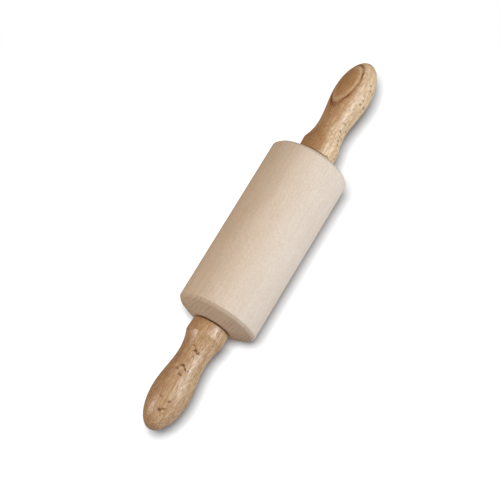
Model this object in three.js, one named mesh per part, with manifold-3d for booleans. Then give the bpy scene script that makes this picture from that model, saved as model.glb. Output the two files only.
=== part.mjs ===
// A small wooden rolling pin whose barrel turns on an axle fixed in two turned handles.
// Millimetres, +Z up. The pin lies along X on a table at z = 0, with the origin under its middle.
// "Near" is the -X end and "far" is the +X end.

import * as THREE from 'three';
import { mergeVertices } from 'three/addons/utils/BufferGeometryUtils.js';
import Module from 'manifold-3d';

// Barrel
const barrelDiameter = 45;
const rimToRim = 100;             // between the rims, before the ends swell outwards
const rimChamfer = 1.6;
const endRise = 3.8;              // how far the domed end stands out at the handle's collar

// Handle, with places along it measured from the face at the barrel
const handleLength = 62.2;
const collarDiameter = 20.6;
const collarEdgeBreak = 0.4;
const ridgeDiameter = 21.2;
const ridgeAt = 7.2;
const ridgeRound = 0.6;           // length of the rounding on each side of the ridge
const neckDiameter = 16.4;
const neckAt = 18.8;
const gripDiameter = 20.8;
const gripAt = 41;

// Axle
const axleDiameter = 8;
const axleInHandle = 28;
const axleTipChamfer = 0.8;
const fluteCount = 12;
const fluteLength = 22;
const fluteDiameter = 1;

// Flanged bush, pressed into each end of the barrel
const bushLength = 16;
const bushDiameter = 12;
const bushFlangeDiameter = 16;
const bushFlange = 1.6;
const bushLeadIn = 0.6;

// Thrust washer between bush and handle
const washerDiameter = 15;
const washerThickness = 0.6;

// Clearances
const runningClearance = 0.1;     // axle in bush, on the radius
const pressClearance = 0.05;      // bush in barrel and axle in handle, on the radius and under the flange
const washerClearance = 0.3;      // washer over axle, on the radius
const endFloat = 0.1;             // on each face of a washer
const boreRelief = 1;             // barrel bore over the axle between the bushes, on the radius
const drillClearance = 1.2;       // handle bore past the axle's tip
const drillPointAngle = 118;      // degrees

// Facets
const sides = 40;
const domeSteps = 3;
const handleSteps = 5;
const fluteSides = 8;

// Sizes that follow from the ones above
const barrelRadius = barrelDiameter / 2;
const axleRadius = axleDiameter / 2;
const rimAt = rimToRim / 2;
const seatAt = rimAt + endRise;
const handleFaceAt = seatAt + washerThickness + 2 * endFloat;
const axleHalfLength = handleFaceAt + axleInHandle;
const handleBore = axleRadius + pressClearance;

const wood = {
  barrel: new THREE.MeshStandardMaterial({ color: 0xe0cfba, roughness: 0.62, metalness: 0 }),
  handle: new THREE.MeshStandardMaterial({ color: 0xb58a62, roughness: 0.35, metalness: 0 }),
};
const steel = new THREE.MeshStandardMaterial({ color: 0xb8bbbf, roughness: 0.3, metalness: 1 });
const nylon = new THREE.MeshStandardMaterial({ color: 0xeae6da, roughness: 0.45, metalness: 0 });

const { Manifold, Mesh } = await Module().then((wasm) => {
  wasm.setup();
  return wasm;
});

// A profile holds points of radius and distance along X, with the material on its left.
// Its corners are moved out so that every flat touches the true circle, and one flat faces down.
function turned(profile) {
  const outward = 1 / Math.cos(Math.PI / sides);
  const corners = profile.map((point) => new THREE.Vector2(point.x * outward, point.y));
  const firstCorner = Math.PI - Math.PI / sides;
  const geometry = new THREE.LatheGeometry(corners, sides, firstCorner);
  return geometry.rotateZ(-Math.PI / 2);
}

function solidFrom(geometry) {
  const bare = geometry.clone();
  bare.deleteAttribute('normal');
  bare.deleteAttribute('uv');
  const merged = mergeVertices(bare);
  const corners = merged.index.array;
  const triangles = [];
  for (let i = 0; i < corners.length; i += 3) {
    const [a, b, c] = corners.slice(i, i + 3);
    if (a !== b && b !== c && c !== a) triangles.push(a, b, c);
  }
  const vertProperties = new Float32Array(merged.attributes.position.array);
  return new Manifold(new Mesh({ numProp: 3, vertProperties, triVerts: new Uint32Array(triangles) }));
}

function geometryFrom(solid) {
  const mesh = solid.getMesh();
  const geometry = new THREE.BufferGeometry();
  geometry.setAttribute('position', new THREE.BufferAttribute(new Float32Array(mesh.vertProperties), 3));
  geometry.setIndex(new THREE.BufferAttribute(new Uint32Array(mesh.triVerts), 1));
  geometry.computeVertexNormals();
  return geometry;
}

// Barrel: a cylinder with chamfered rims and domed ends, bored through and counterbored for the bushes.
function barrelGeometry() {
  const rimRadius = barrelRadius - rimChamfer;
  const collarRadius = collarDiameter / 2;
  const flangeSeat = bushFlangeDiameter / 2 + pressClearance;
  const sleeveSeat = bushDiameter / 2 + pressClearance;
  const flangeSeatAt = seatAt - bushFlange - pressClearance;
  const sleeveSeatAt = seatAt - bushLength - pressClearance;
  const bore = axleRadius + boreRelief;

  // The dome is part of a ball centred on the axis, through the rim and the collar's edge.
  const domeCentreToRim = ((rimRadius ** 2 - collarRadius ** 2) / endRise - endRise) / 2;
  const domeRadius = Math.hypot(rimRadius, domeCentreToRim);
  const rimAngle = Math.asin(domeCentreToRim / domeRadius);
  const collarAngle = Math.asin((domeCentreToRim + endRise) / domeRadius);

  const farHalf = new THREE.Path();
  farHalf.moveTo(barrelRadius, rimAt - rimChamfer);
  farHalf.lineTo(rimRadius, rimAt);
  farHalf.absarc(0, rimAt - domeCentreToRim, domeRadius, rimAngle, collarAngle);
  farHalf.lineTo(flangeSeat, seatAt);
  farHalf.lineTo(flangeSeat, flangeSeatAt);
  farHalf.lineTo(sleeveSeat, flangeSeatAt);
  farHalf.lineTo(sleeveSeat, sleeveSeatAt);
  farHalf.lineTo(bore, sleeveSeatAt);

  const far = farHalf.getPoints(domeSteps);
  const near = far.map((point) => new THREE.Vector2(point.x, -point.y)).reverse();
  return turned([...far, ...near, far[0]]);
}

// Handle: collar, ridge, hollow shoulder, neck, swelling grip and rounded nose in one smooth profile,
// drilled blind for the axle. Made for the far end.
function handleGeometry() {
  const noseLength = handleLength - gripAt;
  const shoulder = neckAt - ridgeAt;
  const swell = gripAt - neckAt;
  const collar = new THREE.Vector2(collarDiameter / 2, handleFaceAt + collarEdgeBreak);
  const ridge = new THREE.Vector2(ridgeDiameter / 2, handleFaceAt + ridgeAt);
  const neck = new THREE.Vector2(neckDiameter / 2, handleFaceAt + neckAt);
  const grip = new THREE.Vector2(gripDiameter / 2, handleFaceAt + gripAt);
  const shoulderPull = new THREE.Vector2(neck.x, ridge.y + shoulder / 2);

  // The ridge is rounded between a point on the collar and a point on the shoulder.
  const towards = (from, to) => to.clone().sub(from).setLength(ridgeRound).add(from);
  const beforeRidge = towards(ridge, collar);
  const afterRidge = towards(ridge, shoulderPull);

  const drillPoint = handleBore / Math.tan(THREE.MathUtils.degToRad(drillPointAngle / 2));
  const drillShoulderAt = axleHalfLength + drillClearance;

  const profile = new THREE.Path();
  profile.moveTo(0, drillShoulderAt + drillPoint);
  profile.lineTo(handleBore, drillShoulderAt);
  profile.lineTo(handleBore, handleFaceAt);
  profile.lineTo(collar.x - collarEdgeBreak, handleFaceAt);
  profile.lineTo(collar.x, collar.y);
  profile.lineTo(beforeRidge.x, beforeRidge.y);
  profile.quadraticCurveTo(ridge.x, ridge.y, afterRidge.x, afterRidge.y);
  profile.quadraticCurveTo(shoulderPull.x, shoulderPull.y, neck.x, neck.y);
  profile.bezierCurveTo(neck.x, neck.y + swell / 3, grip.x, grip.y - swell / 3, grip.x, grip.y);
  profile.absellipse(0, grip.y, grip.x, noseLength, 0, Math.PI / 2);
  return turned(profile.getPoints(handleSteps));
}

// Axle: a straight rod with chamfered tips, fluted at both ends where the handles are glued on.
function axleGeometry() {
  const rod = turned([
    new THREE.Vector2(0, -axleHalfLength),
    new THREE.Vector2(axleRadius - axleTipChamfer, -axleHalfLength),
    new THREE.Vector2(axleRadius, -axleHalfLength + axleTipChamfer),
    new THREE.Vector2(axleRadius, axleHalfLength - axleTipChamfer),
    new THREE.Vector2(axleRadius - axleTipChamfer, axleHalfLength),
    new THREE.Vector2(0, axleHalfLength),
  ]);
  const cutterLength = 2 * fluteLength;
  const cutter = new THREE.CylinderGeometry(fluteDiameter / 2, fluteDiameter / 2, cutterLength, fluteSides);
  cutter.rotateZ(-Math.PI / 2);

  let solid = solidFrom(rod);
  for (const end of [-axleHalfLength, axleHalfLength]) {
    for (let i = 0; i < fluteCount; i += 1) {
      const angle = (2 * Math.PI * i) / fluteCount;
      const place = [end, axleRadius * Math.sin(angle), axleRadius * Math.cos(angle)];
      solid = solid.subtract(solidFrom(cutter.clone().translate(...place)));
    }
  }
  return geometryFrom(solid);
}

// Bush: a sleeve with a flange that lies flush with the barrel's end. Made for the far end.
function bushGeometry() {
  const bore = axleRadius + runningClearance;
  const sleeve = bushDiameter / 2;
  const flange = bushFlangeDiameter / 2;
  const innerEnd = seatAt - bushLength;
  const profile = [
    new THREE.Vector2(bore, innerEnd),
    new THREE.Vector2(sleeve - bushLeadIn, innerEnd),
    new THREE.Vector2(sleeve, innerEnd + bushLeadIn),
    new THREE.Vector2(sleeve, seatAt - bushFlange),
    new THREE.Vector2(flange, seatAt - bushFlange),
    new THREE.Vector2(flange, seatAt),
    new THREE.Vector2(bore, seatAt),
  ];
  return turned([...profile, profile[0]]);
}

// Washer: a flat ring, loose on the axle between the bush's flange and the handle. Made for the far end.
function washerGeometry() {
  const bore = axleRadius + washerClearance;
  const rim = washerDiameter / 2;
  const inner = seatAt + endFloat;
  const outer = inner + washerThickness;
  const profile = [
    new THREE.Vector2(bore, inner),
    new THREE.Vector2(rim, inner),
    new THREE.Vector2(rim, outer),
    new THREE.Vector2(bore, outer),
  ];
  return turned([...profile, profile[0]]);
}

function named(name, geometry, material) {
  const mesh = new THREE.Mesh(geometry, material);
  mesh.name = name;
  return mesh;
}

// Both ends hold the same pieces, and the near end is the far one turned half round.
function endPieces(end) {
  const group = new THREE.Group();
  group.add(
    named(`bush_${end}`, bushGeometry(), nylon),
    named(`washer_${end}`, washerGeometry(), steel),
    named(`handle_${end}`, handleGeometry(), wood.handle),
  );
  return group;
}

const nearEnd = endPieces('near');
nearEnd.rotation.z = Math.PI;

const rollingPin = new THREE.Group();
rollingPin.position.z = barrelRadius;
rollingPin.add(
  named('barrel', barrelGeometry(), wood.barrel),
  named('axle', axleGeometry(), steel),
  nearEnd,
  endPieces('far'),
);

export default rollingPin;
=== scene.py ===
"""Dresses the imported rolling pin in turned, sanded and lacquered wood, on a pale floor.

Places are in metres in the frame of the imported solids. The pin lies along X on a table at z = 0, with
+Z up. "Near" is the -X end, which is at the lower left of the picture, and "far" is the +X end.
"""

import logging
import math
from collections.abc import Iterator, Sequence
from contextlib import contextmanager
from dataclasses import dataclass
from enum import Enum
from typing import Any

import bpy
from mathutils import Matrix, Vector


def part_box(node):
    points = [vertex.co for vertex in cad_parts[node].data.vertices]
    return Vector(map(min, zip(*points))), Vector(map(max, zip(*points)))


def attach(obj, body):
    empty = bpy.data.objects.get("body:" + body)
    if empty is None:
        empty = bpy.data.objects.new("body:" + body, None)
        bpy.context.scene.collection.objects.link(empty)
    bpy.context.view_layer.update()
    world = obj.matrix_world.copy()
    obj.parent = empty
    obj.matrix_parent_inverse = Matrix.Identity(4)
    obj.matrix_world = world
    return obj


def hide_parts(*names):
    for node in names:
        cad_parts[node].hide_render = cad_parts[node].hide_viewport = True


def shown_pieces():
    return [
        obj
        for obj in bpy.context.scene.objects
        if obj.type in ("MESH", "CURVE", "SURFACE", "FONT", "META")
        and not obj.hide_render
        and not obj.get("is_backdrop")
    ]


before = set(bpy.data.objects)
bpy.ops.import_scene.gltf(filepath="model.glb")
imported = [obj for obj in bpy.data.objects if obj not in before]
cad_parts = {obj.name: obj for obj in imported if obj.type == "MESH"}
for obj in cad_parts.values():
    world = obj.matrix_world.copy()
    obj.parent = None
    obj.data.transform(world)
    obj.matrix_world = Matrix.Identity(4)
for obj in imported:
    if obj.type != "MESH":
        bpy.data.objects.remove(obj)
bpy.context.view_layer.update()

log = logging.getLogger("rolling_pin")

Size = tuple[float, float, float]
Span = tuple[float, float]
Material = bpy.types.Material
Object = bpy.types.Object
Socket = bpy.types.NodeSocket
Tree = bpy.types.NodeTree

MM = 0.001
PHOTO_SIDE = 500
SENSOR_WIDTH_MM = 36.0
SMOOTH = {"interpolation_type": "SMOOTHSTEP"}

BARREL_LOW, BARREL_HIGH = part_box("barrel")
AXIS_HEIGHT = (BARREL_LOW.z + BARREL_HIGH.z) / 2
SEAT_AT = BARREL_HIGH.x
MIDDLE = Vector((0.0, 0.0, AXIS_HEIGHT))
AXIS = (1.0, 0.0, 0.0)


class End(Enum):
    """The two ends of the pin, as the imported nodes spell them."""

    NEAR = "near"
    FAR = "far"


class Face(Enum):
    """Which way a surface cuts the wood, with the turn about the grain, in degrees, that lays it flat."""

    ALONG_LAYERS = 0.0
    ALONG_RAYS = 90.0


def linear(hex_colour: str) -> tuple[float, float, float, float]:
    """Turns an sRGB colour into the linear one that shaders take.

    Args:
        hex_colour: Six hex digits after a hash sign.

    Returns:
        Linear red, green and blue, and an alpha of one.
    """
    channels = (int(hex_colour[i : i + 2], 16) / 255 for i in (1, 3, 5))
    return (*(c / 12.92 if c <= 0.04045 else ((c + 0.055) / 1.055) ** 2.4 for c in channels), 1.0)


def add_node(tree: Tree, kind: str, inputs: dict | None = None, **settings: Any) -> Any:
    """Adds a shader node, sets its options and feeds its inputs.

    Args:
        tree: The node tree that gets the node.
        kind: The kind of node, without the "ShaderNode" that all the names start with.
        inputs: For each input, by name or place, a socket to link or a value to set.
        **settings: The node's own options.

    Returns:
        The new node's outputs.
    """
    node = tree.nodes.new(f"ShaderNode{kind}")
    for option, value in settings.items():
        setattr(node, option, value)
    for name, source in (inputs or {}).items():
        if isinstance(source, Socket):
            tree.links.new(source, node.inputs[name])
        else:
            node.inputs[name].default_value = source
    return node.outputs


def empty_material(name: str) -> Material:
    """Makes a material with an empty node tree.

    Args:
        name: The material's name.

    Returns:
        The material.
    """
    material = bpy.data.materials.new(name)
    material.use_nodes = True
    material.node_tree.nodes.clear()
    return material


def surfaced(material: Material, inputs: dict) -> Material:
    """Ends a material in one Principled shader.

    Args:
        material: The material, with its patterns drawn.
        inputs: What feeds the shader, as in add_node.

    Returns:
        The same material.
    """
    shader = add_node(material.node_tree, "BsdfPrincipled", inputs)
    add_node(material.node_tree, "OutputMaterial", {"Surface": shader["BSDF"]})
    return material


@dataclass(frozen=True)
class Growth:
    """How a piece was cut from the tree: the lie, width and wander of its growth layers.

    Attributes:
        roll: Turn about the pin's axis, in degrees, from straight up to the way that crosses the layers.
        tilt: Slope of the layers along the pin.
        pitch_mm: Width of a layer.
        offset_mm: Where a layer ends, from the axis.
        wander_mm: How far the layers wander from flat.
        wander_size_mm: Size of one wander along the grain, along the layers and across them.
    """

    roll: float = 0.0
    tilt: float = 0.0
    pitch_mm: float = 1.0
    offset_mm: float = 0.0
    wander_mm: float = 0.0
    wander_size_mm: Size = (60.0, 14.0, 9.0)


class Grain:
    """The grain of one piece as sockets: places in millimetres, and patterns drawn on them.

    X runs along the grain and the pin, Y along the growth layers and Z across them.
    """

    def __init__(self, tree: Tree, growth: Growth) -> None:
        """Lays the axes in the piece.

        Args:
            tree: The material's node tree.
            growth: How the piece was cut from the tree.
        """
        self.tree = tree
        self.growth = growth
        roll = (math.radians(growth.roll), 0.0, 0.0)
        per_mm = (1 / MM, 1 / MM, 1 / MM)
        source = add_node(tree, "TexCoord")
        centred = add_node(tree, "Mapping", {"Vector": source["Object"], "Location": -MIDDLE})[0]
        self.place = add_node(tree, "Mapping", {"Vector": centred, "Rotation": roll, "Scale": per_mm})[0]
        inputs = {"Vector": source["Normal"], "Rotation": roll}
        facing = add_node(tree, "Mapping", inputs, vector_type="NORMAL")[0]
        self.axes = add_node(tree, "SeparateXYZ", {0: self.place})
        self.facing = add_node(tree, "SeparateXYZ", {0: facing})

    def stretched(self, size_mm: Size, shift: float, face: Face = Face.ALONG_LAYERS) -> Socket:
        """Scales places so that one unit is a given size.

        Args:
            size_mm: Size of a unit along the grain, along the layers and across them.
            shift: Moves the pattern, in units, so that no two look alike.
            face: Which face of the wood ends up in the flat of X and Y.

        Returns:
            The scaled place.
        """
        inputs = {
            "Vector": self.place,
            "Location": (shift, shift, shift),
            "Rotation": (math.radians(face.value), 0.0, 0.0),
            "Scale": tuple(1 / size for size in size_mm),
        }
        return add_node(self.tree, "Mapping", inputs)[0]

    def mottle(self, size_mm: Size, span: Span, shift: float) -> Socket:
        """Draws cloudy streaks.

        Args:
            size_mm: Size of a cloud along the grain, along the layers and across them.
            span: Heights of the clouds between which the share grows, out of one.
            shift: Moves the pattern.

        Returns:
            The share, from 0 to 1.
        """
        place = self.stretched(size_mm, shift)
        inputs = {"Vector": place, "Scale": 1.0, "Detail": 3.0, "Roughness": 0.65}
        cloud = add_node(self.tree, "TexNoise", inputs)["Fac"]
        inputs = {"Value": cloud, "From Min": span[0], "From Max": span[1]}
        return add_node(self.tree, "MapRange", inputs, **SMOOTH)[0]

    def depth(self, shift: float) -> Socket:
        """Measures how deep in the tree each place was.

        Args:
            shift: Moves the layers' wander.

        Returns:
            The depth in millimetres, from the layer that holds the axis.
        """
        tree, growth = self.tree, self.growth
        inputs = {"Vector": self.stretched(growth.wander_size_mm, shift), "Scale": 1.0}
        wander = add_node(tree, "TexNoise", inputs)["Fac"]
        inputs = {0: wander, 1: 2 * growth.wander_mm, 2: self.axes["Z"]}
        moved = add_node(tree, "Math", inputs, operation="MULTIPLY_ADD")[0]
        inputs = {0: self.axes["X"], 1: growth.tilt, 2: moved}
        sloped = add_node(tree, "Math", inputs, operation="MULTIPLY_ADD")[0]
        return add_node(tree, "Math", {0: sloped, 1: growth.wander_mm}, operation="SUBTRACT")[0]

    def late_wood(self, depth: Socket, start: float, sharp: float) -> Socket:
        """Darkens towards the end of each layer and then stops short, as late wood does.

        Args:
            depth: How deep in the tree each place was.
            start: Share of the layer where the darkening starts.
            sharp: Share of the layer over which it ends.

        Returns:
            A number from 0 in early wood to 1 in late wood.
        """
        tree, growth = self.tree, self.growth
        inputs = {0: depth, 1: 1 / growth.pitch_mm, 2: -growth.offset_mm / growth.pitch_mm}
        layers = add_node(tree, "Math", inputs, operation="MULTIPLY_ADD")[0]
        phase = add_node(tree, "Math", {0: layers}, operation="FRACT")[0]
        slopes = []
        for foot in (start, 1.0):
            inputs = {"Value": phase, "From Min": foot, "From Max": 1.0 - sharp}
            slopes.append(add_node(tree, "MapRange", inputs, **SMOOTH)[0])
        return add_node(tree, "Math", dict(enumerate(slopes)), operation="MULTIPLY")[0]

    def flecks(self, size_mm: Span, fill: float, share: float, shift: float, face: Face) -> Socket:
        """Scatters small ragged crescents, the cut edges of the wood's rays.

        Each is a blob with the same blob, moved along the grain, taken out of it.

        Args:
            size_mm: Spacing of the crescents along the grain and across it.
            fill: How much of its spacing a crescent takes up, from 0 to 1.
            share: Share of the places that hold one.
            shift: Moves the pattern.
            face: The face that they are seen on.

        Returns:
            A number that is 1 in a crescent and 0 between them.
        """
        tree = self.tree
        length, width = size_mm
        place = self.stretched((length, width, width), shift, face)
        ragged = add_node(tree, "TexNoise", {"Vector": place, "Scale": 1.6})["Color"]
        wobble = (0.5, 0.5, 0.5)
        inputs = {0: ragged, 1: wobble, 2: place}
        wobbly = add_node(tree, "VectorMath", inputs, operation="MULTIPLY_ADD")[0]
        moved = add_node(tree, "Mapping", {"Vector": wobbly, "Location": (fill, 0.0, 0.0)})[0]
        core = 0.7 * fill
        blobs = []
        for centre in (wobbly, moved):
            inputs = {"Vector": centre, "Scale": 1.0, "Randomness": 0.9}
            cells = add_node(tree, "TexVoronoi", inputs, voronoi_dimensions="2D")
            inputs = {"Value": cells["Distance"], "From Min": fill, "From Max": core}
            blob = add_node(tree, "MapRange", inputs, **SMOOTH)[0]
            chance = add_node(tree, "SeparateColor", {"Color": cells["Color"]})["Red"]
            held = add_node(tree, "Math", {0: chance, 1: share}, operation="LESS_THAN")[0]
            blobs.append(add_node(tree, "Math", {0: blob, 1: held}, operation="MULTIPLY")[0])
        inputs = dict(enumerate(blobs))
        return add_node(tree, "Math", inputs, operation="SUBTRACT", use_clamp=True)[0]

    def facing_share(self, axis: str, low: float, high: float) -> Socket:
        """Marks where the surface faces along an axis of the grain.

        Args:
            axis: X for cut ends, Y for faces along the rays, Z for faces along the layers.
            low: How squarely it must face to count at all, out of one.
            high: How squarely it must face to count in full.

        Returns:
            A number from 0 to 1.
        """
        square = add_node(self.tree, "Math", {0: self.facing[axis]}, operation="ABSOLUTE")[0]
        inputs = {"Value": square, "From Min": low, "From Max": high}
        return add_node(self.tree, "MapRange", inputs, **SMOOTH)[0]

    def close_to(self, measure: Socket, places_mm: tuple[float, ...], reach_mm: Span) -> Socket:
        """Marks where a measure is close to any of some places.

        Args:
            measure: The measure, in millimetres.
            places_mm: The places.
            reach_mm: How far from a place the mark is still full, and how far off it ends.

        Returns:
            A number that is 1 close to a place and 0 away from them all.
        """
        tree = self.tree
        full, end = reach_mm
        # The search starts a metre off, further than any place on the pin.
        nearest: Any = 1 / MM
        for place in places_mm:
            gap = add_node(tree, "Math", {0: measure, 1: place}, operation="SUBTRACT")[0]
            off = add_node(tree, "Math", {0: gap}, operation="ABSOLUTE")[0]
            nearest = add_node(tree, "Math", {0: off, 1: nearest}, operation="MINIMUM")[0]
        inputs = {"Value": nearest, "From Min": end, "From Max": full}
        return add_node(tree, "MapRange", inputs, **SMOOTH)[0]

    def coloured(self, base: str, *coats: tuple) -> Socket:
        """Lays colours over a base colour, one after the other.

        Args:
            base: The base colour.
            *coats: For each coat, its colour, then the patterns and strengths that multiply to its share.

        Returns:
            The colour of each place.
        """
        colour: Any = linear(base)
        for tint, share, *factors in coats:
            for factor in factors:
                share = add_node(self.tree, "Math", {0: share, 1: factor}, operation="MULTIPLY")[0]
            inputs = {0: share, 6: colour, 7: linear(tint)}
            colour = add_node(self.tree, "Mix", inputs, data_type="RGBA")[2]
        return colour


# Maple that was turned, sanded and left bare: to the eye it is pale, even and dull, with faint layers and
# fine fibres. Real fibres and pores are under 0.1 mm wide, so they are drawn about five times as coarse.
@dataclass(frozen=True)
class SandedMaple:
    """The barrel's bare maple.

    Attributes:
        growth: How the piece was cut from the tree.
        early: Colour of the wood that grew in spring.
        late: Colour of the wood that grew in summer.
        end: Colour of the cut ends, which soak up more light.
        ring: Colour of the growth layers' dark edges.
        ring_on_side: Strength of those edges on the barrel's side.
        ring_on_end: How much stronger they are on the cut ends.
        fibre_mm: Size of a bundle of fibres.
        speck_mm: Size of a pore.
        cloud_mm: Size of a darker patch.
        ray_mm: Spacing of the rays along the grain and across it.
        stand_mm: Size of a patch where the layers stand out more.
        shine: Weight of the soft shine that sanding leaves.
        shine_roughness: How dull that shine is.
        nap_mm: Height of the fibres that sanding leaves standing.
    """

    growth: Growth = Growth(roll=70.0, tilt=0.004, pitch_mm=2.1, offset_mm=1.0, wander_mm=2.4)
    early: str = "#E8DBCF"
    late: str = "#CDB9A2"
    end: str = "#C2A88D"
    ring: str = "#94785E"
    ring_on_side: float = 0.06
    ring_on_end: float = 0.46
    fibre_mm: Size = (16.0, 0.5, 0.5)
    speck_mm: Size = (1.5, 0.7, 0.7)
    cloud_mm: Size = (40.0, 8.0, 8.0)
    ray_mm: Span = (1.6, 1.0)
    stand_mm: Size = (60.0, 12.0, 6.0)
    shine: float = 0.05
    shine_roughness: float = 0.55
    nap_mm: float = 0.03

    def material(self) -> Material:
        """Builds the material.

        Returns:
            The material.
        """
        material = empty_material("maple_sanded_bare")
        tree = material.node_tree
        grain = Grain(tree, self.growth)
        late = grain.late_wood(grain.depth(shift=0.0), start=0.4, sharp=0.2)
        uneven = grain.mottle(self.stand_mm, span=(0.35, 0.65), shift=12.0)
        specks = grain.mottle(self.speck_mm, span=(0.35, 0.7), shift=8.0)
        clouds = grain.mottle(self.cloud_mm, span=(0.3, 0.7), shift=3.0)
        fibres = grain.mottle(self.fibre_mm, span=(0.25, 0.75), shift=0.0)
        rays = grain.flecks(self.ray_mm, fill=0.5, share=0.25, shift=1.7, face=Face.ALONG_RAYS)
        cut_end = grain.facing_share("X", low=0.35, high=0.9)

        inputs = {0: cut_end, 1: self.ring_on_end, 2: self.ring_on_side}
        shows = add_node(tree, "Math", inputs, operation="MULTIPLY_ADD")[0]
        nap = add_node(tree, "Bump", {"Height": specks, "Distance": self.nap_mm * MM})[0]
        wood = grain.coloured(
            self.early,
            (self.end, cut_end, 0.45),
            (self.ring, late, uneven, shows),
            (self.late, clouds, 0.2),
            (self.late, fibres, 0.3),
            (self.late, specks, 0.4),
            (self.end, rays, 0.1),
        )
        surface = {
            "Base Color": wood,
            "Normal": nap,
            "Roughness": 1.0,
            "Specular IOR Level": 0.0,
            "Coat Weight": self.shine,
            "Coat Roughness": self.shine_roughness,
        }
        return surfaced(material, surface)


# Steamed beech that was turned and lacquered: to the eye it is warm tan with long darker streaks, dark
# flecks where the rays are cut and a broken satin shine. Its pores are drawn about five times as coarse.
@dataclass(frozen=True)
class LacqueredBeech:
    """A handle's lacquered beech.

    Attributes:
        name: The material's name.
        growth: How the piece was cut from the tree.
        pale: Colour of the paler side: paler wood on the far handle, a painted sheen on the near one.
        pale_and_sheen_mm: Where, across the layers, that paler side starts and ends.
        seam_mm: Depth of the one dark layer.
        seam: Strength of the dark layer.
        flake_mm: Spacing of the flakes along the grain and across it.
        flake: Strength of the flakes.
        flake_share: Share of the places that hold one.
        flake_at_mm: Distances from the pin's middle where the rays lie open as flakes.
        shift: Moves the patterns, so that the two handles differ.
        wood: Colour of the wood.
        late: Colour of its darker streaks.
        fleck: Colour of the cut rays.
        fibre_mm: Size of a bundle of fibres.
        pore_mm: Size of a pore.
        cloud_mm: Size of a darker patch.
        dash_mm: Spacing of the rays' ends along the grain and across it.
        dash_share: Share of the places that hold such an end.
        ray_fill: How much of its spacing a flake or an end takes up, from 0 to 1.
        flake_reach_mm: How far from their places the flakes are dense, and how far off they end.
        seam_width_mm: Width of the dark layer.
        rim_mm: How far beyond the dark layer its pale rim lies, and the rim's width.
        rim: Strength of the rim, as a share of the dark layer's.
        gap_mm: Size of a patch where the dark layer fades.
        gap: Share of the dark layer's strength that is left there.
        fray_mm: How far the fibres fray the dark layer, and the edge of the paler side.
        pore: Strength of the pores' colour.
        coat: Weight of the lacquer.
        coat_ior: Strength of its gleam, above a real lacquer's 1.5, so that a thin coat gleams enough and
            the pale floor's reflection doesn't grey the wood.
        coat_roughness: How dull the lacquer is.
        pore_depth_mm: Depth of the pores that the lacquer doesn't fill.
    """

    name: str
    growth: Growth
    pale: str
    pale_and_sheen_mm: Span
    seam_mm: float
    seam: float
    flake_mm: Span
    flake: float
    flake_share: float
    flake_at_mm: tuple[float, ...]
    shift: float
    wood: str = "#C6A57B"
    late: str = "#97693B"
    fleck: str = "#663000"
    fibre_mm: Size = (14.0, 0.5, 0.5)
    pore_mm: Size = (4.0, 0.55, 0.55)
    cloud_mm: Size = (16.0, 3.5, 3.5)
    dash_mm: Span = (1.8, 1.2)
    dash_share: float = 0.4
    ray_fill: float = 0.5
    flake_reach_mm: Span = (3.0, 5.0)
    seam_width_mm: float = 1.1
    rim_mm: Span = (0.8, 1.4)
    rim: float = 0.3
    gap_mm: Size = (7.0, 4.0, 4.0)
    gap: float = 0.4
    fray_mm: Span = (0.4, 1.5)
    pore: float = 0.74
    coat: float = 0.175
    coat_ior: float = 2.5
    coat_roughness: float = 0.25
    pore_depth_mm: float = 0.055

    def material(self) -> Material:
        """Builds the material.

        Returns:
            The material.
        """
        material = empty_material(self.name)
        tree, shift = material.node_tree, self.shift
        grain = Grain(tree, self.growth)
        depth = grain.depth(shift)
        late = grain.late_wood(depth, start=0.5, sharp=0.05)
        fibre = grain.mottle(self.fibre_mm, span=(0.33, 0.7), shift=shift)
        pores = grain.mottle(self.pore_mm, span=(0.38, 0.66), shift=shift + 7.0)
        cloud = grain.mottle(self.cloud_mm, span=(0.35, 0.7), shift=shift + 5.0)
        whole = grain.mottle(self.gap_mm, span=(0.4, 0.6), shift=shift + 3.0)
        flakes = grain.flecks(self.flake_mm, self.ray_fill, self.flake_share, shift, Face.ALONG_RAYS)
        dashes = grain.flecks(self.dash_mm, self.ray_fill, self.dash_share, shift + 9.0, Face.ALONG_LAYERS)
        cut_end = grain.facing_share("X", low=0.35, high=0.9)
        on_rays = grain.facing_share("Y", low=0.88, high=0.97)
        on_layers = grain.facing_share("Z", low=0.3, high=0.8)

        distance = add_node(tree, "Math", {0: grain.axes["X"]}, operation="ABSOLUTE")[0]
        open_here = grain.close_to(distance, self.flake_at_mm, self.flake_reach_mm)
        open_rays = add_node(tree, "Math", {0: on_rays, 1: open_here}, operation="MULTIPLY")[0]
        open_flakes = add_node(tree, "Math", {0: flakes, 1: open_rays}, operation="MULTIPLY")[0]

        seam_fray, pale_fray = self.fray_mm
        inputs = {0: fibre, 1: seam_fray, 2: depth}
        frayed = add_node(tree, "Math", inputs, operation="MULTIPLY_ADD")[0]
        rim_off, rim_width = self.rim_mm
        rim = grain.close_to(frayed, (self.seam_mm + rim_off,), (0.0, rim_width / 2))
        seam = grain.close_to(frayed, (self.seam_mm,), (0.0, self.seam_width_mm / 2))
        strong_here = add_node(tree, "MapRange", {"Value": whole, "To Min": self.gap, "To Max": 1.0})[0]

        # Paler side: paler wood on the far handle, painted sheen on the near handle's lit right side.
        inputs = {0: fibre, 1: pale_fray, 2: grain.axes["Z"]}
        streaky = add_node(tree, "Math", inputs, operation="MULTIPLY_ADD")[0]
        start, stop = self.pale_and_sheen_mm
        inputs = {"Value": streaky, "From Min": start, "From Max": stop}
        pale_and_sheen_share = add_node(tree, "MapRange", inputs, **SMOOTH)[0]

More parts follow.
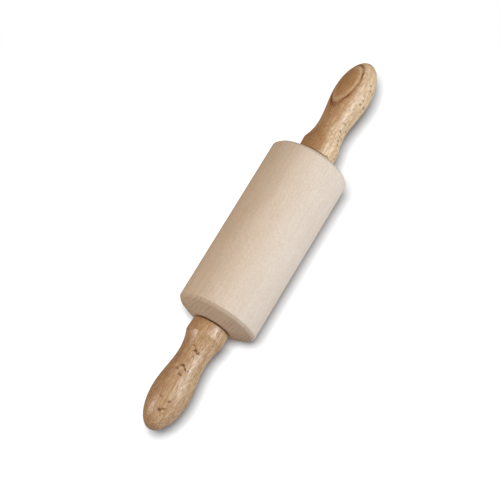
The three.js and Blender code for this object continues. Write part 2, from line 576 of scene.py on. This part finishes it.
        dents = add_node(tree, "Math", {0: pores, 1: open_flakes}, operation="MAXIMUM")[0]
        inputs = {"Height": dents, "Distance": self.pore_depth_mm * MM}
        relief = add_node(tree, "Bump", inputs, invert=True)[0]
        wood = grain.coloured(
            self.wood,
            # Painted sheen on the near handle, paler wood on the far one.
            (self.pale, pale_and_sheen_share),
            (self.late, late, 0.3),
            (self.late, cloud, 0.32),
            (self.late, fibre, 0.42),
            (self.late, pores, self.pore),
            (self.pale, rim, self.rim * self.seam),
            (self.fleck, dashes, on_layers, 0.25),
            (self.fleck, open_flakes, self.flake),
            (self.fleck, seam, strong_here, self.seam),
            (self.late, cut_end, 0.3),
        )
        surface = {
            "Base Color": wood,
            "Normal": relief,
            "Roughness": 1.0,
            "Specular IOR Level": 0.0,
            "Coat Weight": self.coat,
            "Coat IOR": self.coat_ior,
            "Coat Roughness": self.coat_roughness,
            "Coat Normal": relief,
        }
        return surfaced(material, surface)


@dataclass(frozen=True)
class MottledFinish:
    """A plain finish with faint lines or mottles, for the pieces inside.

    Attributes:
        name: The material's name.
        colour: Colour of the clear surface.
        shade: Colour of its lines or mottles.
        mottle_mm: Size of a line or mottle along the pin, beside it and up.
        roughness: Roughness of the clear surface and of its lines or mottles.
        metallic: 1 for a metal.
        ior: How strongly it reflects where it isn't one.
    """

    name: str
    colour: str
    shade: str
    mottle_mm: Size
    roughness: Span
    metallic: float = 0.0
    ior: float = 1.5

    def material(self) -> Material:
        """Builds the material.

        Returns:
            The material.
        """
        material = empty_material(self.name)
        grain = Grain(material.node_tree, Growth())
        mottle = grain.mottle(self.mottle_mm, span=(0.3, 0.7), shift=0.0)
        clear, mottled = self.roughness
        inputs = {"Value": mottle, "To Min": clear, "To Max": mottled}
        surface = {
            "Base Color": grain.coloured(self.colour, (self.shade, mottle)),
            "Roughness": add_node(material.node_tree, "MapRange", inputs)[0],
            "Metallic": self.metallic,
            "IOR": self.ior,
        }
        return surfaced(material, surface)


# Steel that was drawn bright: to the eye it is grey metal with fine lines along the pin. The lines are
# drawn about five times as coarse as real ones.
DRAWN_STEEL = MottledFinish(
    name="steel_bright_drawn",
    colour="#B9BBBD",
    shade="#8F9194",
    mottle_mm=(30.0, 0.15, 0.15),
    roughness=(0.22, 0.42),
    metallic=1.0,
)

# Nylon, injection moulded and left its natural colour: to the eye it is milky off-white, satin and very
# slightly mottled.
MOULDED_NYLON = MottledFinish(
    name="nylon_moulded_natural",
    colour="#E9E4D6",
    shade="#DAD3C0",
    mottle_mm=(2.5, 2.5, 2.5),
    roughness=(0.38, 0.5),
    ior=1.53,
)


@dataclass
class Knot:
    """One point of an outline, with the handles of the curve before and after it."""

    at: Vector
    before: Vector
    after: Vector


class Outline:
    """Half of a turned shape, drawn as a line of straight and curved stretches beside the axis.

    Points are (distance from the middle towards the far end, radius), in metres.
    """

    def __init__(self, along: float, radius: float) -> None:
        """Starts the line at a point."""
        start = Vector((along, radius))
        self.knots = [Knot(start, start.copy(), start.copy())]

    def curve(self, pull_a: Vector, pull_b: Vector, end: Vector) -> "Outline":
        """Adds a cubic stretch.

        Args:
            pull_a: What the curve heads for at first.
            pull_b: What it comes from at last.
            end: Where it ends.

        Returns:
            The outline, for chaining.
        """
        self.knots[-1].after = pull_a
        self.knots.append(Knot(end, pull_b, end.copy()))
        return self

    def lines(self, *points: Sequence[float]) -> "Outline":
        """Adds straight stretches.

        Args:
            *points: Where each stretch ends.

        Returns:
            The outline, for chaining.
        """
        for point in points:
            start, end = self.knots[-1].at, Vector(point)
            self.curve(start.lerp(end, 1 / 3), start.lerp(end, 2 / 3), end)
        return self

    def bow(self, pull: Vector, end: Vector) -> "Outline":
        """Adds a stretch bowed towards one pulling point."""
        start = self.knots[-1].at
        return self.curve(start.lerp(pull, 2 / 3), end.lerp(pull, 2 / 3), end)

    def arc(self, centre: Vector, end: Vector) -> "Outline":
        """Adds part of a circle that turns from its start down towards the axis.

        Args:
            centre: The circle's centre.
            end: Where the arc ends, as far from the centre as its start.

        Returns:
            The outline, for chaining.
        """
        start = self.knots[-1].at
        from_centre, to_centre = start - centre, end - centre
        reach = 4 / 3 * math.tan(from_centre.angle(to_centre) / 4)
        pull_a = start + reach * Vector((from_centre.y, -from_centre.x))
        pull_b = end - reach * Vector((to_centre.y, -to_centre.x))
        return self.curve(pull_a, pull_b, end)

    def nose(self, tip: float) -> "Outline":
        """Adds a quarter of an ellipse that closes on the axis.

        Args:
            tip: Where on the axis it closes.

        Returns:
            The outline, for chaining.
        """
        round_pull = 4 / 3 * math.tan(math.pi / 8)
        start = self.knots[-1].at
        pull_a = start + Vector((round_pull * (tip - start.x), 0.0))
        return self.curve(pull_a, Vector((tip, round_pull * start.y)), Vector((tip, 0.0)))

    def mirrored(self) -> "Outline":
        """Goes back the same way on the other side of the middle, to the start's own mirror image.

        Returns:
            The outline, for chaining.
        """
        flip = Vector((-1.0, 1.0))
        back = [Knot(k.at * flip, k.after * flip, k.before * flip) for k in reversed(self.knots)]
        last, first = self.knots[-1], back[0]
        last.after = last.at.lerp(first.at, 1 / 3)
        first.before = last.at.lerp(first.at, 2 / 3)
        self.knots += back
        return self


@contextmanager
def whole_in_edit_mode() -> Iterator[None]:
    """Opens the active piece for editing with all of it selected, and closes it again.

    Yields:
        Nothing, while the piece is open.
    """
    bpy.ops.object.mode_set(mode="EDIT")
    bpy.ops.mesh.select_all(action="SELECT")
    yield
    bpy.ops.object.mode_set(mode="OBJECT")


@dataclass(frozen=True)
class Lathe:
    """Turns an outline into a smooth solid, as a lathe does.

    Attributes:
        steps: Facets round the axis.
        curve_steps: Points on each curved stretch.
        straight_angle: Bends flatter than this, in degrees, are drawn straight.
        merge_mm: Points closer than this become one.
        edge_mm: Width of the fine rounding left by sandpaper on every edge.
        edge_steps: Facets of that rounding.
        edge_angle: Edges sharper than this, in degrees, are rounded and shade as edges.
    """

    steps: int = 128
    curve_steps: int = 14
    straight_angle: float = 0.2
    merge_mm: float = 0.002
    edge_mm: float = 0.15
    edge_steps: int = 2
    edge_angle: float = 14.0

    def turn(self, name: str, outline: Outline, closed: bool) -> Object:
        """Spins an outline about the pin's axis.

        Args:
            name: The new piece's name.
            outline: The half outline.
            closed: Whether the outline ends where it started and so makes a ring.

        Returns:
            The turned piece.
        """
        bpy.ops.object.select_all(action="DESELECT")
        bpy.ops.curve.primitive_bezier_curve_add()
        piece = bpy.context.object
        piece.name = piece.data.name = name
        self.draw(piece.data, outline, closed)
        bpy.ops.object.convert(target="MESH")
        with whole_in_edit_mode():
            bpy.ops.mesh.dissolve_limited(angle_limit=math.radians(self.straight_angle))
            bpy.ops.mesh.select_all(action="SELECT")
            bpy.ops.mesh.spin(steps=self.steps, angle=math.tau, center=MIDDLE, axis=AXIS)
            bpy.ops.mesh.select_all(action="SELECT")
            bpy.ops.mesh.remove_doubles(threshold=self.merge_mm * MM)
            bpy.ops.mesh.normals_make_consistent(inside=False)
        self.ease_edges(piece)
        return piece

    def draw(self, curve: bpy.types.Curve, outline: Outline, closed: bool) -> None:
        """Writes an outline into a new curve's one spline.

        Args:
            curve: The new curve.
            outline: The outline to write.
            closed: Whether its last point joins its first.
        """
        curve.dimensions = "3D"
        curve.resolution_u = self.curve_steps
        spline = curve.splines[0]
        spline.bezier_points.add(len(outline.knots) - len(spline.bezier_points))
        spline.use_cyclic_u = closed
        for point, knot in zip(spline.bezier_points, outline.knots):
            point.handle_left_type = point.handle_right_type = "FREE"
            point.co = MIDDLE + knot.at.to_3d().xzy
            point.handle_left = MIDDLE + knot.before.to_3d().xzy
            point.handle_right = MIDDLE + knot.after.to_3d().xzy

    def ease_edges(self, piece: Object) -> None:
        """Rounds a piece's edges a little and shades the rest smooth.

        Args:
            piece: The piece, which is the active one.
        """
        bpy.ops.object.modifier_add(type="BEVEL")
        bevel = piece.modifiers[-1]
        bevel.width = self.edge_mm * MM
        bevel.segments = self.edge_steps
        bevel.limit_method = "ANGLE"
        bevel.angle_limit = math.radians(self.edge_angle)
        bpy.ops.object.modifier_apply(modifier=bevel.name)
        bpy.ops.object.shade_smooth_by_angle(angle=math.radians(self.edge_angle))

    def pair(self, name: str, outline: Outline, closed: bool) -> dict[End, Object]:
        """Turns a piece for the far end and turns a copy of it half round for the near end.

        Args:
            name: The pieces' name, without the end.
            outline: The half outline, on the far side.
            closed: Whether the outline makes a ring.

        Returns:
            Both pieces, each with its own mesh.
        """
        far = self.turn(f"{name}_{End.FAR.value}", outline, closed)
        bpy.ops.object.duplicate(linked=False)
        near = bpy.context.object
        near.name = near.data.name = f"{name}_{End.NEAR.value}"
        with whole_in_edit_mode():
            bpy.ops.transform.rotate(value=math.pi, orient_axis="Z", center_override=MIDDLE)
        return {End.NEAR: near, End.FAR: far}


def span(node: str) -> tuple[float, float, float]:
    """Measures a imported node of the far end.

    Args:
        node: The node's name.

    Returns:
        How far from the middle it starts and stops, and its radius.
    """
    low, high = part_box(node)
    return low.x, high.x, (high.z - low.z) / 2


def seat(piece: Object, node: str, body: str, material: Material) -> None:
    """Puts a finished piece in its node's place and dresses it.

    Args:
        piece: The finished piece.
        node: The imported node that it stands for.
        body: The body that it moves with.
        material: Its finish.
    """
    piece.data.materials.clear()
    piece.data.materials.append(material)
    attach(piece, body)
    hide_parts(node)
    log.info("%s stands for %s on %s: %d faces", piece.name, node, body, len(piece.data.polygons))


@dataclass
class Barrel:
    """The pale roller with chamfered rims, domed ends and a bore stepped for the bushes."""

    finish: SandedMaple
    rim_chamfer: float = 1.6 * MM
    end_rise: float = 3.8 * MM
    collar_radius: float = 10.3 * MM
    flange_radius: float = 8.05 * MM
    flange_depth: float = 1.65 * MM
    sleeve_radius: float = 6.05 * MM
    sleeve_depth: float = 16.05 * MM
    bore_radius: float = 5.0 * MM
    radius: float = AXIS_HEIGHT

    def outline(self) -> Outline:
        """Draws the far half from the barrel's side to its bore, then the near half back.

        Returns:
            The outline.
        """
        rim_at = SEAT_AT - self.end_rise
        rim_radius = self.radius - self.rim_chamfer
        rise_square = rim_radius**2 - self.collar_radius**2
        centre_to_rim = (rise_square / self.end_rise - self.end_rise) / 2
        flange_at, sleeve_at = SEAT_AT - self.flange_depth, SEAT_AT - self.sleeve_depth
        outline = Outline(rim_at - self.rim_chamfer, self.radius).lines((rim_at, rim_radius))
        outline.arc(Vector((rim_at - centre_to_rim, 0.0)), Vector((SEAT_AT, self.collar_radius)))
        outline.lines(
            (SEAT_AT, self.flange_radius),
            (flange_at, self.flange_radius),
            (flange_at, self.sleeve_radius),
            (sleeve_at, self.sleeve_radius),
            (sleeve_at, self.bore_radius),
        )
        return outline.mirrored()

    def build(self, lathe: Lathe) -> None:
        """Turns the barrel and dresses it."""
        piece = lathe.turn("maple_barrel", self.outline(), closed=True)
        seat(piece, "barrel", "barrel", self.finish.material())


@dataclass
class Handles:
    """Two turned handles, drilled for the axle: collar, ridge, hollow shoulder, neck, grip and nose.

    Places along a handle are from its face at the barrel.
    """

    finishes: dict[End, LacqueredBeech]
    edge_break: float = 0.4 * MM
    collar_radius: float = 10.3 * MM
    ridge_radius: float = 10.6 * MM
    ridge_at: float = 7.2 * MM
    ridge_round: float = 0.35 * MM
    neck_radius: float = 8.2 * MM
    neck_at: float = 18.8 * MM
    grip_radius: float = 10.4 * MM
    grip_at: float = 41.0 * MM
    bore_radius: float = 4.05 * MM
    bore_depth: float = 29.2 * MM
    drill_point: float = 2.43 * MM

    def outline(self) -> Outline:
        """Draws a handle from the drilled point out along the bore, round the face and to the tip.

        Returns:
            The outline.
        """
        face, tip, _ = span("handle_far")
        collar = Vector((face + self.edge_break, self.collar_radius))
        ridge = Vector((face + self.ridge_at, self.ridge_radius))
        neck = Vector((face + self.neck_at, self.neck_radius))
        grip = Vector((face + self.grip_at, self.grip_radius))
        shoulder_pull = Vector(((ridge.x + neck.x) / 2, neck.y))
        swell = Vector(((grip.x - neck.x) / 3, 0.0))
        before_ridge = ridge + self.ridge_round * (collar - ridge).normalized()
        after_ridge = ridge + self.ridge_round * (shoulder_pull - ridge).normalized()

        outline = Outline(face + self.bore_depth + self.drill_point, 0.0).lines(
            (face + self.bore_depth, self.bore_radius),
            (face, self.bore_radius),
            (face, self.collar_radius - self.edge_break),
            collar,
            before_ridge,
        )
        outline.bow(ridge, after_ridge).bow(shoulder_pull, neck)
        outline.curve(neck + swell, grip - swell, grip)
        return outline.nose(tip)

    def build(self, lathe: Lathe) -> None:
        """Turns the handles and dresses them."""
        for end, piece in lathe.pair("beech_handle", self.outline(), closed=False).items():
            seat(piece, f"handle_{end.value}", "handle_set", self.finishes[end].material())


@dataclass
class Bearings:
    """What the barrel turns on: at each end a flanged bush in it and a washer against the handle."""

    nylon: Material
    steel: Material
    bush_bore: float = 4.1 * MM
    bush_radius: float = 6.0 * MM
    flange_thickness: float = 1.6 * MM
    lead_in: float = 0.6 * MM
    washer_bore: float = 4.3 * MM

    def bush_outline(self) -> Outline:
        """Draws the sleeve and its flange.

        Returns:
            The outline.
        """
        start, stop, flange = span("bush_far")
        flange_at = stop - self.flange_thickness
        return Outline(start, self.bush_bore).lines(
            (start, self.bush_radius - self.lead_in),
            (start + self.lead_in, self.bush_radius),
            (flange_at, self.bush_radius),
            (flange_at, flange),
            (stop, flange),
            (stop, self.bush_bore),
        )

    def washer_outline(self) -> Outline:
        """Draws the flat ring."""
        start, stop, rim = span("washer_far")
        return Outline(start, self.washer_bore).lines((start, rim), (stop, rim), (stop, self.washer_bore))

    def build(self, lathe: Lathe) -> None:
        """Turns the bushes and the washers and dresses them.

        Args:
            lathe: What turns them.
        """
        for end, bush in lathe.pair("nylon_bush", self.bush_outline(), closed=True).items():
            seat(bush, f"bush_{end.value}", "barrel", self.nylon)
        for end, washer in lathe.pair("steel_washer", self.washer_outline(), closed=True).items():
            seat(washer, f"washer_{end.value}", f"{end.value}_washer", self.steel)


@dataclass
class Axle:
    """The straight rod inside, fluted at both ends where the handles are glued on."""

    steel: Material
    tip_chamfer: float = 0.8 * MM
    flutes: int = 12
    flute_length: float = 22.0 * MM
    flute_radius: float = 0.5 * MM
    flute_sides: int = 16
    merge: float = 0.01 * MM

    def outline(self) -> Outline:
        """Draws the rod from tip to tip.

        Returns:
            The outline.
        """
        _, tip, radius = span("axle")
        side, face = tip - self.tip_chamfer, radius - self.tip_chamfer
        rod = Outline(-tip, 0.0)
        return rod.lines((-tip, face), (-side, radius), (side, radius), (tip, face), (tip, 0.0))

    def cutter(self) -> Object:
        """Makes one mesh of all the flutes' round cutters, half in and half beyond each tip.

        Returns:
            The cutter.
        """
        _, tip, radius = span("axle")
        bpy.ops.object.select_all(action="DESELECT")
        bpy.ops.mesh.primitive_cylinder_add(
            vertices=self.flute_sides,
            radius=self.flute_radius,
            depth=2 * self.flute_length,
            location=MIDDLE + Vector((tip, 0.0, radius)),
            rotation=(0.0, math.pi / 2, 0.0),
        )
        cutter = bpy.context.object
        bpy.ops.object.transform_apply()
        copies = self.flutes - 1
        turn = math.tau - math.tau / self.flutes
        with whole_in_edit_mode():
            bpy.ops.mesh.spin(steps=copies, dupli=True, angle=turn, center=MIDDLE, axis=AXIS)
            bpy.ops.mesh.select_all(action="SELECT")
            bpy.ops.mesh.duplicate()
            bpy.ops.transform.translate(value=(-2 * tip, 0.0, 0.0))
        return cutter

    def build(self, lathe: Lathe) -> None:
        """Turns the rod, cuts its flutes and dresses it.

        Args:
            lathe: What turns it.
        """
        piece = lathe.turn("steel_axle", self.outline(), closed=False)
        cutter = self.cutter()
        bpy.ops.object.select_all(action="DESELECT")
        bpy.context.view_layer.objects.active = piece
        piece.select_set(True)
        bpy.ops.object.modifier_add(type="BOOLEAN")
        flutes = piece.modifiers[-1]
        flutes.object = cutter
        flutes.operation = "DIFFERENCE"
        bpy.ops.object.modifier_apply(modifier=flutes.name)
        bpy.data.objects.remove(cutter)
        with whole_in_edit_mode():
            bpy.ops.mesh.remove_doubles(threshold=self.merge)
        bpy.ops.object.shade_smooth_by_angle(angle=math.radians(lathe.edge_angle))
        seat(piece, "axle", "handle_set", self.steel)


def direction(azimuth: float, elevation: float) -> Vector:
    """The way from the pin's middle to a place round it, both angles in degrees.

    Args:
        azimuth: Turn about Z, with 0 on the -Y side and 90 on the +X side.
        elevation: Height above the horizon.

    Returns:
        A vector of length one.
    """
    a, e = math.radians(azimuth), math.radians(elevation)
    return Vector((math.sin(a) * math.cos(e), -math.cos(a) * math.cos(e), math.sin(e)))


def stand(name: str, data: bpy.types.ID, aim: Vector, back: Vector, distance: float) -> Object:
    """Stands a camera or a light off from what it points at.

    Args:
        name: Its name.
        data: The camera or the light.
        aim: What it points at.
        back: The way back from there.
        distance: How far back it stands.

    Returns:
        The camera or the light in its place.
    """
    stood = bpy.data.objects.new(name, data)
    bpy.context.scene.collection.objects.link(stood)
    stood.location = aim + distance * back
    stood.rotation_mode = "QUATERNION"
    stood.rotation_quaternion = (-back).to_track_quat("-Z", "Y")
    return stood


@dataclass
class PhotoCamera:
    """The camera, where the photograph was taken from.

    Attributes:
        azimuth: Turn about Z, in degrees.
        elevation: Height above the horizon, in degrees.
        distance: From the lens to the pin's middle.
        lens_mm: Focal length for the sensor's width.
        middle_px: Where the pin's middle is in the photograph.
    """

    azimuth: float = -60.0
    elevation: float = 70.9
    distance: float = 0.926
    lens_mm: float = 126.8
    middle_px: tuple[float, float] = (263.75, 240.55)

    def build(self) -> None:
        """Makes the camera and points it."""
        back = direction(self.azimuth, self.elevation)
        turn = (-back).to_track_quat("-Z", "Y")
        right, up = turn @ Vector((1.0, 0.0, 0.0)), turn @ Vector((0.0, 1.0, 0.0))
        metres_per_px = self.distance * SENSOR_WIDTH_MM / self.lens_mm / PHOTO_SIDE
        right_px = self.middle_px[0] - PHOTO_SIDE / 2
        up_px = PHOTO_SIDE / 2 - self.middle_px[1]
        aim = MIDDLE - metres_per_px * (right_px * right + up_px * up)

        data = bpy.data.cameras.new("photo_camera")
        data.sensor_width = SENSOR_WIDTH_MM
        data.lens = self.lens_mm
        data.clip_start = 0.01
        bpy.context.scene.camera = stand("photo_camera", data, aim, back, self.distance)


@dataclass(frozen=True)
class SoftBox:
    """A soft light that faces the pin.

    Attributes:
        name: The light's name.
        azimuth: Turn about Z, in degrees, as the camera's.
        elevation: Height above the horizon, in degrees.
        distance: From the pin's middle.
        width: Its level side.
        height: Its other side.
        power: In watts.
        colour: Its colour.
        matt: Whether it lights the wood itself.
        gleam: Whether it gleams on the lacquer.
    """

    name: str
    azimuth: float
    elevation: float
    distance: float
    width: float
    height: float
    power: float
    colour: str
    matt: bool = True
    gleam: bool = True

    def build(self, lit: bpy.types.Collection) -> None:
        """Makes the light.

        Args:
            lit: What the light falls on.
        """
        data = bpy.data.lights.new(self.name, "AREA")
        data.shape = "RECTANGLE"
        data.size = self.width
        data.size_y = self.height
        data.energy = self.power
        data.color = linear(self.colour)[:3]
        back = direction(self.azimuth, self.elevation)
        light = stand(self.name, data, MIDDLE, back, self.distance)
        light.visible_diffuse = self.matt
        light.visible_glossy = self.gleam
        light.light_linking.receiver_collection = lit


@dataclass
class Studio:
    """A pale floor and soft lights: warm from above, cool from the right, with the shadow to the right.

    In the photograph the wood is lit from the right while its shadow also falls to the right, so the
    lights on the pin and the light on the floor are kept apart.

    Attributes:
        floor_side: Length of the floor's sides.
        floor_colour: Colour of the floor as it is seen.
        floor_glow: White added to the floor as it is seen, which keeps its shadow from going black.
        floor_fades: Distances between which the floor fades into the white behind it.
        bounce_colour: Colour of the light that the floor throws back at the pin.
        sky_colour: Colour of the light from all round.
        sky_strength: Strength of that light.
        fill: The warm light from above and behind.
        key: The cool light from the right, which lights the wood without a gleam.
        gleam: A narrow light, a little higher on the right, that only gleams on the lacquer.
        glint: A small light on the left that only gleams on the near handle's nose.
        end: A low light on the near end.
        shadow: The light on the floor.
    """

    floor_side: float = 6.0
    floor_colour: str = "#BDBDBD"
    floor_glow: float = 0.09
    floor_fades: Span = (0.12, 0.2)
    bounce_colour: str = "#68594C"
    sky_colour: str = "#FFFFFF"
    sky_strength: float = 0.15
    # Each light's numbers are its azimuth, elevation, distance, width, height and power.
    fill: SoftBox = SoftBox("fill_light", 180.0, 52.0, 1.6, 2.4, 2.4, 20.3, "#FCE5C8")
    key: SoftBox = SoftBox("key_light", 22.0, 28.0, 1.2, 0.6, 0.87, 14.1, "#F0F8FF", gleam=False)
    gleam: SoftBox = SoftBox("gleam_light", 22.0, 42.0, 1.2, 0.6, 0.2, 12.9, "#F0F8FF", matt=False)
    glint: SoftBox = SoftBox("glint_light", -153.0, 29.0, 1.2, 0.3, 0.35, 8.5, "#FFFFFF", matt=False)
    end: SoftBox = SoftBox("end_light", -90.0, 22.0, 1.2, 0.8, 0.6, 3.9, "#FFF3E9")
    shadow: SoftBox = SoftBox("floor_light", -88.0, 80.6, 1.6, 0.57, 0.57, 53.0, "#FDFEFF")

    def build(self, pieces: list[Object]) -> None:
        """Makes the floor, the sky and the lights.

        Args:
            pieces: The pin's pieces.
        """
        self.sky()
        on_pin = self.group("lit_as_pin", pieces)
        for light in (self.fill, self.key, self.gleam, self.glint, self.end):
            light.build(on_pin)
        self.shadow.build(self.group("lit_as_floor", [self.floor()]))

    def group(self, name: str, members: list[Object]) -> bpy.types.Collection:
        """Collects what a light falls on.

        Args:
            name: The collection's name.
            members: What goes into it.

        Returns:
            The collection.
        """
        collection = bpy.data.collections.new(name)
        for member in members:
            collection.objects.link(member)
        return collection

    def seen(self, tree: Tree) -> Socket:
        """Tells rays that end in the picture, straight or mirrored, from those that only carry light.

        Args:
            tree: The node tree that asks.

        Returns:
            A number that is 1 for what is seen and 0 for the rest.
        """
        path = add_node(tree, "LightPath")
        inputs = {0: path["Is Glossy Ray"], 1: path["Is Transmission Ray"]}
        reflected = add_node(tree, "Math", inputs, operation="MAXIMUM")[0]
        inputs = {0: path["Is Camera Ray"], 1: reflected}
        return add_node(tree, "Math", inputs, operation="MAXIMUM")[0]

    def sky(self) -> None:
        """Lights everything a little from all round, and shows white behind the floor."""
        world = bpy.data.worlds.new("studio_sky")
        world.use_nodes = True
        bpy.context.scene.world = world
        tree = world.node_tree
        tree.nodes.clear()
        inputs = {"Value": self.seen(tree), "To Min": self.sky_strength, "To Max": 1.0}
        strength = add_node(tree, "MapRange", inputs)[0]
        white = add_node(tree, "Background", {"Color": linear(self.sky_colour), "Strength": strength})[0]
        add_node(tree, "OutputWorld", {"Surface": white})

    def floor(self) -> Object:
        """Makes the pale floor, which takes the shadow and throws little light back at the pin.

        Returns:
            The floor.
        """
        bpy.ops.object.select_all(action="DESELECT")
        bpy.ops.mesh.primitive_plane_add(size=self.floor_side)
        floor = bpy.context.object
        floor.name = floor.data.name = "studio_floor"

        # White paper with a matt face: to the eye it is even, without a gleam, and further off it fades
        # into a white that takes no light.
        material = empty_material("paper_matt_white")
        tree = material.node_tree
        seen = self.seen(tree)
        inputs = {0: seen, 6: linear(self.bounce_colour), 7: linear(self.floor_colour)}
        paper = add_node(tree, "Mix", inputs, data_type="RGBA")[2]
        place = add_node(tree, "TexCoord")["Object"]
        distance = add_node(tree, "VectorMath", {0: place}, operation="LENGTH")["Value"]
        near, far = self.floor_fades
        inputs = {"Value": distance, "From Min": near, "From Max": far}
        faded = add_node(tree, "MapRange", inputs, **SMOOTH)[0]
        inputs = {0: faded, 6: paper, 7: linear("#000000")}
        lit = add_node(tree, "Mix", inputs, data_type="RGBA")[2]
        glow = add_node(tree, "MapRange", {"Value": faded, "To Min": self.floor_glow, "To Max": 1.0})[0]
        seen_glow = add_node(tree, "Math", {0: glow, 1: seen}, operation="MULTIPLY")[0]
        surface = {
            "Base Color": lit,
            "Roughness": 0.9,
            "Specular IOR Level": 0.0,
            "Emission Color": linear("#FFFFFF"),
            "Emission Strength": seen_glow,
        }
        floor.data.materials.append(surfaced(material, surface))
        floor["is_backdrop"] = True
        return floor


def main() -> None:
    """Builds the pin piece by piece, then the camera and the studio."""
    logging.basicConfig(level=logging.INFO, format="%(name)s: %(message)s")
    bpy.context.scene.view_settings.view_transform = "Standard"
    lathe = Lathe()
    steel, nylon = DRAWN_STEEL.material(), MOULDED_NYLON.material()
    near_wood = LacqueredBeech(
        name="beech_lacquered_near",
        growth=Growth(roll=-93.0, tilt=0.01, pitch_mm=3.1, wander_mm=0.5),
        # Its paler side is a painted sheen on the handle's lit right side.
        pale="#DBC09D",
        pale_and_sheen_mm=(-6.0, 3.0),
        seam_mm=0.0,
        seam=0.0,
        flake_mm=(2.9, 3.4),
        flake=0.9,
        flake_share=0.75,
        flake_at_mm=(71.6, 83.1, 104.6),
        shift=2.0,
    )
    far_wood = LacqueredBeech(
        name="beech_lacquered_far",
        growth=Growth(roll=33.0, tilt=0.086, pitch_mm=3.4, wander_mm=0.35),
        wood="#B08C62",
        late="#A5764A",
        pale="#F4DFBD",
        pale_and_sheen_mm=(10.4, 5.0),
        seam_mm=16.45,
        seam=1.0,
        flake_mm=(2.4, 2.0),
        flake=0.6,
        flake_share=0.25,
        flake_at_mm=(58.6, 66.0, 75.0, 84.0, 92.0, 100.0),
        shift=11.0,
        pore=0.5,
        coat=0.12,
        coat_roughness=0.38,
        pore_depth_mm=0.03,
    )

    Barrel(SandedMaple()).build(lathe)
    Handles({End.NEAR: near_wood, End.FAR: far_wood}).build(lathe)
    Bearings(nylon, steel).build(lathe)
    Axle(steel).build(lathe)

    PhotoCamera().build()
    Studio().build(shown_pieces())


if __name__ == "__main__":
    main()
